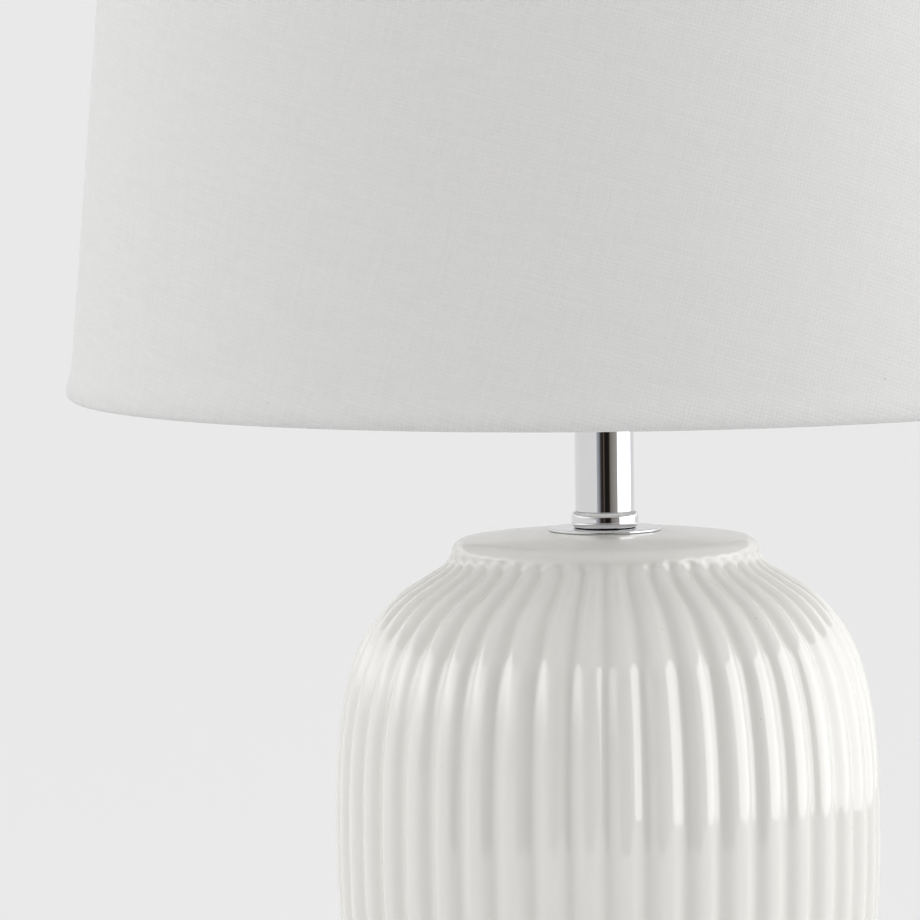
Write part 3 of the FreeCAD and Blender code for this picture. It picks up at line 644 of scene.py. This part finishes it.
# %% All the finishes
MATERIALS = {
    "glazed_ceramic": make_glaze(),
    "chrome": make_metal("chrome", (0.80, 0.80, 0.81), 0.015, 0.05, mark=0.000004, strength=0.06),
    "zinc_steel": make_metal("zinc_steel", (0.62, 0.63, 0.64), 0.28, 0.42, lines=1500.0, strength=0.4),
    "brass": make_metal("brass", (0.78, 0.62, 0.34), 0.22, 0.36, lines=1800.0, strength=0.3),
    "nickel_brass": make_metal("nickel_brass", (0.70, 0.66, 0.58), 0.16, 0.3, lines=2000.0, strength=0.25),
    "solder": make_metal("solder", (0.60, 0.60, 0.61), 0.34, 0.5, lines=700.0, strength=0.6),
    "aluminium": make_metal("aluminium", (0.78, 0.78, 0.79), 0.3, 0.42, lines=1500.0, strength=0.4),
    "white_plastic": make_coated("white_plastic", (0.82, 0.82, 0.80), 0.28, 0.36),
    "bulb_plastic": make_coated("bulb_plastic", (0.85, 0.85, 0.83), 0.32, 0.42),
    "white_enamel": make_coated(
        "white_enamel", (0.84, 0.84, 0.83), 0.34, 0.46, grain=2200.0, distance=0.00003),
    "ceramic_insert": make_coated(
        "ceramic_insert", (0.80, 0.78, 0.73), 0.6, 0.75, grain=1600.0, distance=0.00005),
    "black_glass": make_coated("black_glass", (0.03, 0.03, 0.035), 0.08, 0.16),
    "opal_globe": make_coated("opal_globe", (0.88, 0.88, 0.865), 0.3, 0.36, Coat_Weight=0.3),
    "shade_fabric": make_cloth(),
    "shade_lining": make_styrene(),
    "felt": make_felt(),
}
print("materials:", sorted(MATERIALS))

# %% Carried-over nodes take the finish of their slot
slot_of = {part["node"]: part["material_slot"] for part in frame["record"]["subparts"]}
for name, node in frame["nodes"].items():
    node.data.materials.clear()
    node.data.materials.append(MATERIALS[slot_of[name]])


# %% [markdown]
# ## The floor
#
# A wide, plain, pale sheet under the lamp. It isn't part of the lamp.

# %% Floor
nothing_selected()
bpy.ops.mesh.primitive_plane_add(size=80.0)
floor = bpy.context.object
floor.name = "floor"
paper = Finish("floor_paper", (0.80, 0.80, 0.80), 0.95, Specular_IOR_Level=0.0)
floor.data.materials.append(paper.material)


# %% [markdown]
# ### Cards for the reflections
#
# A glowing card is a plane with an emission that varies across it. Only glossy rays see these
# cards, so they shape what chrome and glaze reflect and leave the soft light as it is.

# %% Cards
def card(name, middle, width, height, turned, stops):
    """An upright card facing the lamp; stops run across it, each (share of the width, colour)."""
    nothing_selected()
    bpy.ops.mesh.primitive_plane_add(size=1.0)
    piece = bpy.context.object
    piece.name = name
    bpy.ops.object.mode_set(mode="EDIT")
    bpy.ops.transform.resize(value=(width, height, 1))
    bpy.ops.object.mode_set(mode="OBJECT")
    piece.matrix_world = (
        Matrix.Translation(middle) @ Matrix.Rotation(turned, 4, "Z") @ Matrix.Rotation(math.pi / 2, 4, "X")
    )
    material = bpy.data.materials.new(name)
    material.use_nodes = True
    tree = material.node_tree
    tree.nodes.clear()
    across = split(tree, tree.nodes.new("ShaderNodeTexCoord").outputs["Object"])[0]
    where = calc(tree, "MULTIPLY_ADD", across, 1 / width, 0.5)
    tone = ramp(tree.nodes, stops)
    tree.links.new(where, tone.inputs[0])
    glow = tree.nodes.new("ShaderNodeEmission")
    tree.links.new(tone.outputs[0], glow.inputs["Color"])
    tree.links.new(glow.outputs[0], tree.nodes.new("ShaderNodeOutputMaterial").inputs["Surface"])
    piece.data.materials.append(material)
    piece.visible_camera = piece.visible_diffuse = piece.visible_shadow = False
    return piece


# %% A dark screen in front and a softbox at the side
card("dark_screen", (0.32, -1.0, 0.85), 1.80, 1.70, 0.0, [
    (0.0, (0.50, 0.51, 0.53)), (0.10, (0.30, 0.31, 0.33)), (0.14, (0.20, 0.22, 0.26)),
    (0.18, (0.05, 0.04, 0.04)),
    (0.27, (0.015, 0.012, 0.010)), (0.29, (0.13, 0.10, 0.08)), (0.32, (0.06, 0.045, 0.04)),
    (0.345, (0.010, 0.009, 0.008)), (0.50, (0.016, 0.014, 0.012)), (0.56, (0.20, 0.185, 0.17)),
    (0.70, (0.30, 0.28, 0.26)), (1.0, (0.42, 0.40, 0.38)),
])
card("softbox", (1.25, -0.10, 0.95), 1.80, 1.90, math.radians(90), [
    (0.0, (1.6, 1.6, 1.55)), (0.08, (2.5, 2.5, 2.48)), (0.75, (2.5, 2.52, 2.6)), (1.0, (1.3, 1.4, 1.5)),
])

# %% [markdown]
# ## The ceramic body
#
# On the real lamp the body is slip-cast in a mould with a rib every eight degrees, then glazed.
# By hand: draw the outline with its wall, spin it round, then press the grooves in. The grooves
# are painted as weights, one slim stripe between each pair of ribs, and a Displace modifier
# pushes those places in along their normals, which keeps the rib rounded on the shoulder too.
# The grooves wander a little, as they do on a hand-finished mould. Last, a Boolean with a cylinder
# drills the hole for the flex, low in the back, and a wider one cuts the flat face round it.

# %% Outline of the body
rib_count = 44
rib_depth = 2.3 * MM
top_landing = 13 * MM
top_edge = 50 * MM
top_crown = 2.6 * MM
rim_rounding = 5.5 * MM
rim_lean = math.atan(2 * top_crown / (top_edge - top_landing))
neck_band_radius = top_edge + rim_rounding * (1 - math.sin(rim_lean))
neck_band_z = body_top - top_crown - rim_rounding * math.cos(rim_lean)
foot_radius = 68.0 * MM
foot_band = 12.0 * MM
foot_taper = 0.6 * MM
foot_rounding = 1.2 * MM
belly_z = body_top - 102.8 * MM
tube_hole = 5.35 * MM
wall = 5.5 * MM
crest_radius = 96.6 * MM
SWELL = [
    (0.0, 0.0), (0.041, 0.062), (0.093, 0.246), (0.147, 0.435), (0.22, 0.604),
    (0.33, 0.773), (0.477, 0.893), (0.70, 0.976), (1.0, 1.0),
]


def swell_points(band_radius, band_z, wide_radius, wide_z):
    return [(band_radius + out * (wide_radius - band_radius), band_z + along * (wide_z - band_z))
            for along, out in SWELL]


flank_z = body_foot + foot_band
top_face = [(tube_hole, body_top), (9 * MM, body_top), (top_landing, body_top)]
for n in range(1, 16):
    top_face.append((top_landing + (top_edge - top_landing) * n / 16, body_top - top_crown * (n / 16) ** 2))
rim = []
for n in range(9):
    t = (math.pi / 2 - rim_lean) * (1 - n / 9)
    rim.append((
        neck_band_radius - rim_rounding * (1 - math.cos(t)), neck_band_z + rim_rounding * math.sin(t)))
side = curve_through(
    swell_points(neck_band_radius, neck_band_z, crest_radius, belly_z)
    + swell_points(foot_radius, flank_z, crest_radius, belly_z)[-2::-1], 2.6 * MM)
foot_edge = [(foot_radius - foot_taper - foot_rounding * (1 - math.cos(math.radians(a))),
              body_foot + foot_rounding * (1 - math.sin(math.radians(a)))) for a in (0, 30, 60, 90)]
# %% Outline of the cavity
recess_radius = foot_radius - wall - rib_depth
recess_roof = body_foot + 18 * MM
cavity_floor = recess_roof + 6 * MM
floor_opening = 24 * MM
cavity_ceiling = body_top - 7 * MM
cavity = curve_through(
    swell_points(recess_radius, cavity_floor, crest_radius - rib_depth - wall, belly_z)
    + swell_points(neck_band_radius - wall, cavity_ceiling, crest_radius - rib_depth - wall, belly_z)[-2::-1],
    11 * MM)
outline = (
    top_face + rim + side + foot_edge
    + [(recess_radius, body_foot), (recess_radius, recess_roof)]
    + [(floor_opening, recess_roof), (floor_opening, cavity_floor)]
    + cavity + [(tube_hole, cavity_ceiling)]
)
print("outline points:", len(outline))

# %% Spin the body and place its grooves
columns = rib_count * 12
ceramic = spun("ceramic_body_glazed", outline, steps=columns, smooth=0)
hand = random.Random(7)
pitch = TURN / rib_count
wander = math.radians(0.45)
grooves = [-math.pi / 2 + pitch * number + hand.uniform(-wander, wander) for number in range(rib_count)]
depths = [hand.uniform(0.9, 1.0) for _ in range(rib_count)]


def groove_share(angle):
    """How far into a groove an angle lies: 1 at its bottom, 0 on the crest of a rib."""
    number = min(range(rib_count), key=lambda n: abs((grooves[n] - angle + math.pi) % TURN - math.pi))
    offset = (angle - grooves[number] + math.pi) % TURN - math.pi
    other = grooves[(number + (1 if offset > 0 else -1)) % rib_count]
    gap = abs((other - grooves[number] + math.pi) % TURN - math.pi)
    across = min(abs(offset) / gap, 0.5)
    return depths[number] * (0.5 + 0.5 * math.cos(TURN * across)) ** 1.7


def fade(z):
    """The ribs rise out of the smooth bands at the rim and the foot."""
    from_rim = (neck_band_z + 2.2 * MM - z) / (4.5 * MM)
    from_foot = (z - flank_z) / (8 * MM)
    part = min(max(min(from_rim, from_foot), 0.0), 1.0)
    return part * part * (3 - 2 * part)


# %% Weights of the grooves
skin_places = {(round(radius, 4), round(z, 4)) for radius, z in rim + side}
share_at = {}
weights = []
for vertex in ceramic.data.vertices:
    reach = math.hypot(vertex.co.x, vertex.co.y)
    if (round(reach, 4), round(vertex.co.z, 4)) not in skin_places:
        weights.append(0.0)
        continue
    angle = round(math.atan2(vertex.co.y, vertex.co.x), 4)
    if angle not in share_at:
        share_at[angle] = groove_share(angle)
    weights.append(share_at[angle] * fade(vertex.co.z) * reach / crest_radius)
press = ceramic.vertex_groups.new(name="grooves")
for number, weight in enumerate(weights):
    if weight > 0:
        press.add([number], weight, "REPLACE")
ceramic.data.attributes.new("groove", "FLOAT", "POINT").data.foreach_set("value", weights)


# %% Press the grooves in
def modified(piece, kind, **settings):
    """Adds a modifier with its settings and applies it."""
    nothing_selected()
    piece.select_set(True)
    bpy.context.view_layer.objects.active = piece
    modifier = piece.modifiers.new(kind.lower(), kind)
    for name, value in settings.items():
        setattr(modifier, name, value)
    bpy.ops.object.modifier_apply(modifier=modifier.name)
    return piece


modified(ceramic, "DISPLACE", direction="NORMAL", vertex_group="grooves", mid_level=0.0, strength=-rib_depth)

# %% Drill the hole for the flex, with a flat face round it
bush_low, bush_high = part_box("cable_bush")
hole_z = (bush_low.z + bush_high.z) / 2
drill_length = 30 * MM
for name, radius, start in (("flex_drill", 4.5 * MM, 50 * MM), ("flex_face", 6.2 * MM, 67 * MM)):
    nothing_selected()
    bpy.ops.mesh.primitive_cylinder_add(
        vertices=64, radius=radius, depth=drill_length,
        location=(0, start + drill_length / 2, hole_z), rotation=(TURN / 4, 0, 0))
    drill = bpy.context.object
    drill.name = name
    modified(ceramic, "BOOLEAN", operation="DIFFERENCE", solver="EXACT", object=drill)
    bpy.data.objects.remove(drill)
nothing_selected()
ceramic.select_set(True)
bpy.context.view_layer.objects.active = ceramic
bpy.ops.object.shade_smooth_by_angle(angle=math.radians(55))
print("body with its hole has", len(ceramic.data.polygons), "faces")
finished(ceramic, "stand", ["ceramic_body"], MATERIALS["glazed_ceramic"])

# %% [markdown]
# ## The chrome neck
#
# Three turned and polished pieces. Their edges are rounded in the outline, because on a mirror
# finish a sharp edge would show no highlight at all.

# %% Neck
disc_low, disc_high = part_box("top_disc")[0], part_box("top_disc")[1]
disc = spun("top_disc_chrome", rounded([
    (tube_hole, disc_low.z), (disc_high.x, disc_low.z), (disc_high.x, disc_high.z), (tube_hole, disc_high.z),
], {1: 0.25 * MM, 2: 0.4 * MM}), steps=192)
modified(disc, "WEIGHTED_NORMAL", keep_sharp=True)
finished(disc, "stand", ["top_disc"], MATERIALS["chrome"])

collar_low, collar_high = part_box("collar_ring")[0].z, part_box("collar_ring")[1].z
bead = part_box("collar_ring")[1].x
collar_middle, collar_half = (collar_low + collar_high) / 2, (collar_high - collar_low) / 2
bead_curve = 1.9 * MM
barrel = []
for n in range(25):
    turned = math.radians(-90 + 180 * n / 24)
    out, up = abs(math.cos(turned)) ** 0.68, abs(math.sin(turned)) ** 0.68
    barrel.append((bead - bead_curve * (1 - out), collar_middle + math.copysign(collar_half * up, turned)))
collar = spun("collar_chrome", [(tube_hole, collar_low)] + barrel + [(tube_hole, collar_high)], steps=192)
modified(collar, "WEIGHTED_NORMAL", keep_sharp=True)
finished(collar, "stand", ["collar_ring"], MATERIALS["chrome"])

tube_inner = neck_radius - 1.0 * MM
tube = spun("neck_tube_chrome", rounded([
    (tube_inner, neck_low), (neck_radius, neck_low), (neck_radius, neck_high), (tube_inner, neck_high),
], {1: 0.2 * MM, 2: 0.2 * MM}), steps=192)
modified(tube, "WEIGHTED_NORMAL", keep_sharp=True)
finished(tube, "stand", ["neck_tube"], MATERIALS["chrome"])

# %% [markdown]
# ## The shade's cover
#
# One piece of cloth, cut as a flat ring sector, glued to the lining and turned in round both wire
# rings. By hand: draw the cloth's path in section, from the flap inside the lower edge, round the
# lower wire, up the outside, round the upper wire and down inside again, then spin it and give it
# a thickness. The flat pattern is the UV map. Glue never holds cloth quite flat, so the side is
# then pushed in and out by tenths of a millimetre, and a lap of double cloth runs down the back.

# %% Cover
cloth = 0.5 * MM
side_run = Vector((upper_wire_radius - lower_wire_radius, upper_wire_z - lower_wire_z))
side_length = side_run.length
along = side_run.normalized()
outward = Vector((along.y, -along.x))
hem = wire_radius + cloth / 2
lining_in = 0.4 * MM
face_out = lining_in + 0.4 * MM + cloth / 2
flap_out = lining_in - cloth / 2
hem_run = 9 * MM
flap_end = 15 * MM


def on_side(up, out):
    point = Vector((lower_wire_radius, lower_wire_z)) + along * up + outward * out
    return (point.x, point.y)


def around_wire(base, start_degrees, end_degrees, steps=14):
    """Places round a wire; 0 degrees points outwards, -90 down the side, 90 up it."""
    result = []
    for step in range(steps + 1):
        turned = math.radians(start_degrees + (end_degrees - start_degrees) * step / steps)
        result.append(on_side(base + hem * math.sin(turned), hem * math.cos(turned)))
    return result


def straight(start, end, spacing):
    (up_a, out_a), (up_b, out_b) = start, end
    count = max(1, round(abs(up_b - up_a) / spacing))
    rise, shift = (up_b - up_a) / count, (out_b - out_a) / count
    return [on_side(up_a + rise * n, out_a + shift * n) for n in range(count)]


def ease(start, end, count=6):
    """A soft S between two faces of the side."""
    result = []
    for step in range(count):
        t = step / count
        soft = t * t * (3 - 2 * t)
        result.append(on_side(start[0] + (end[0] - start[0]) * t, start[1] + (end[1] - start[1]) * soft))
    return result


# %% Path of the cloth in section
top = side_length
path = (
    straight((flap_end, flap_out), (hem_run, flap_out), 3 * MM)
    + ease((hem_run, flap_out), (0.4 * MM, -hem + 0.05 * MM))
    + around_wire(0.0, 180, 360)
    + ease((0.6 * MM, hem), (hem_run, face_out))[1:]
    + straight((hem_run, face_out), (top - hem_run, face_out), 4 * MM)
    + ease((top - hem_run, face_out), (top - 0.6 * MM, hem))
    + around_wire(top, 0, 180)
    + ease((top - 0.4 * MM, -hem + 0.05 * MM), (top - hem_run, flap_out))[1:]
    + straight((top - hem_run, flap_out), (top - flap_end, flap_out), 3 * MM)
    + [on_side(top - flap_end, flap_out)]
)
cover = spun("shade_cover_fabric", path, steps=360, closed=False, smooth=0)
print("path points", len(path))

# %% The flat pattern as a UV map
cone_slope = math.asin((lower_wire_radius - upper_wire_radius) / side_length)
apex = (lower_wire_radius + face_out) / math.sin(cone_slope)
lengths = [0.0]
for a, b in zip(path, path[1:]):
    lengths.append(lengths[-1] + math.hypot(b[0] - a[0], b[1] - a[1]))
place_of = {}
for (radius, z), length in zip(path, lengths):
    place_of[(round(radius, 5), round(z, 5))] = length
grain_lean = math.radians(16)


def flat_place(co, angle):
    key = (round(math.hypot(co.x, co.y), 5), round(co.z, 5))
    length = place_of.get(key)
    if length is None:
        near = min(place_of, key=lambda k: abs(k[0] - key[0]) + abs(k[1] - key[1]))
        length = place_of[key] = place_of[near]
    reach = apex - length
    spread = angle * math.sin(cone_slope)
    x, y = reach * math.sin(spread), apex - reach * math.cos(spread)
    cosine, sine = math.cos(grain_lean), math.sin(grain_lean)
    return (x * cosine - y * sine, x * sine + y * cosine)


while cover.data.uv_layers:
    cover.data.uv_layers.remove(cover.data.uv_layers[0])
pattern = cover.data.uv_layers.new(name="flat_pattern")
for face in cover.data.polygons:
    middle = math.atan2(face.center.x, -face.center.y)
    for corner in face.loop_indices:
        co = cover.data.vertices[cover.data.loops[corner].vertex_index].co
        angle = math.atan2(co.x, -co.y)
        angle += TURN * round((middle - angle) / TURN)
        pattern.data[corner].uv = flat_place(co, angle)

# %% Softness, then thickness
dimples = bpy.data.textures.new("dimples", "CLOUDS")
dimples.noise_scale = 0.055
dimples.noise_depth = 1
soft = cover.vertex_groups.new(name="side")
lap = cover.vertex_groups.new(name="lap")
lap_half = math.radians(1.6)
for vertex in cover.data.vertices:
    if abs(math.atan2(vertex.co.y, vertex.co.x) - TURN / 4) < lap_half:
        lap.add([vertex.index], 1.0, "REPLACE")
for vertex in cover.data.vertices:
    up = (vertex.co.z - lower_wire_z) / (upper_wire_z - lower_wire_z)
    reach = math.hypot(vertex.co.x, vertex.co.y)
    line_radius = lower_wire_radius + up * (upper_wire_radius - lower_wire_radius)
    if 0.0 < up < 1.0 and reach > line_radius + lining_in:
        weight = min(1.0, up / 0.08, (1 - up) / 0.08)
        soft.add([vertex.index], weight, "REPLACE")
modified(cover, "DISPLACE", texture=dimples, texture_coords="LOCAL", direction="NORMAL",
         vertex_group="side", mid_level=0.5, strength=0.5 * MM)
modified(cover, "DISPLACE", direction="NORMAL", vertex_group="lap", mid_level=0.0, strength=0.35 * MM)
modified(cover, "SOLIDIFY", thickness=cloth, offset=0.0, use_even_offset=True)
nothing_selected()
cover.select_set(True)
bpy.context.view_layer.objects.active = cover
bpy.ops.object.shade_smooth_by_angle(angle=math.radians(50))
finished(cover, "shade", ["shade_cover"], MATERIALS["shade_fabric"])

# %% [markdown]
# ## The thread of the bulb's cap
#
# An Edison thread is a rolled wave that climbs one pitch in each turn. By hand it is a Screw
# modifier. Here the same wave is pressed into a turned tube, as the grooves were pressed into the
# body: the weight of a point depends on its height and its angle together, so the stripe climbs.

# %% Pressing a helix into a tube
def threaded(piece, pitch, depth, low, high, runout):
    """Presses a climbing wave between two heights into a turned piece; it fades out at the ends."""
    wave = piece.vertex_groups.new(name="thread")
    for vertex in piece.data.vertices:
        place = vertex.co
        inside = min(place.z - low, high - place.z) / runout
        if inside <= 0 or math.hypot(place.x, place.y) < 1 * MM:
            continue
        turns = place.z / pitch - math.atan2(place.y, place.x) / TURN
        weight = (0.5 + 0.5 * math.cos(TURN * turns)) * min(inside, 1.0)
        wave.add([vertex.index], weight, "REPLACE")
    return modified(
        piece, "DISPLACE", direction="NORMAL", vertex_group="thread", mid_level=0.0, strength=-depth)


def smoothed(piece, degrees=40):
    nothing_selected()
    piece.select_set(True)
    bpy.context.view_layer.objects.active = piece
    bpy.ops.object.shade_smooth_by_angle(angle=math.radians(degrees))
    return piece


def rising(radius, low, high, spacing=0.33 * MM):
    """Evenly spaced outline places straight up a tube."""
    count = max(1, round((high - low) / spacing))
    return [(radius, low + (high - low) * n / count) for n in range(count + 1)]


# %% Bulb cap
cap_low, cap_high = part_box("bulb_cap")[0].z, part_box("bulb_cap")[1].z
cap_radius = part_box("bulb_cap")[1].x
cap_skin = 0.45 * MM
cap = spun("bulb_cap_threaded", [
    (8.2 * MM, cap_low + 0.05 * MM), (9.9 * MM, cap_low + 0.05 * MM),
    (cap_radius - 1.2 * MM, cap_low + 1.4 * MM), (cap_radius - 0.35 * MM, cap_low + 2.4 * MM),
] + rising(cap_radius - 0.05 * MM, cap_low + 2.8 * MM, cap_high - 0.05 * MM),
    steps=96, closed=False, smooth=0)
threaded(cap, 3.629 * MM, 1.15 * MM, cap_low + 2.2 * MM, cap_high - 2.2 * MM, 2.5 * MM)
modified(cap, "SOLIDIFY", thickness=cap_skin, offset=-1.0)
smoothed(cap)
finished(cap, "bulb", ["bulb_cap"], MATERIALS["nickel_brass"])
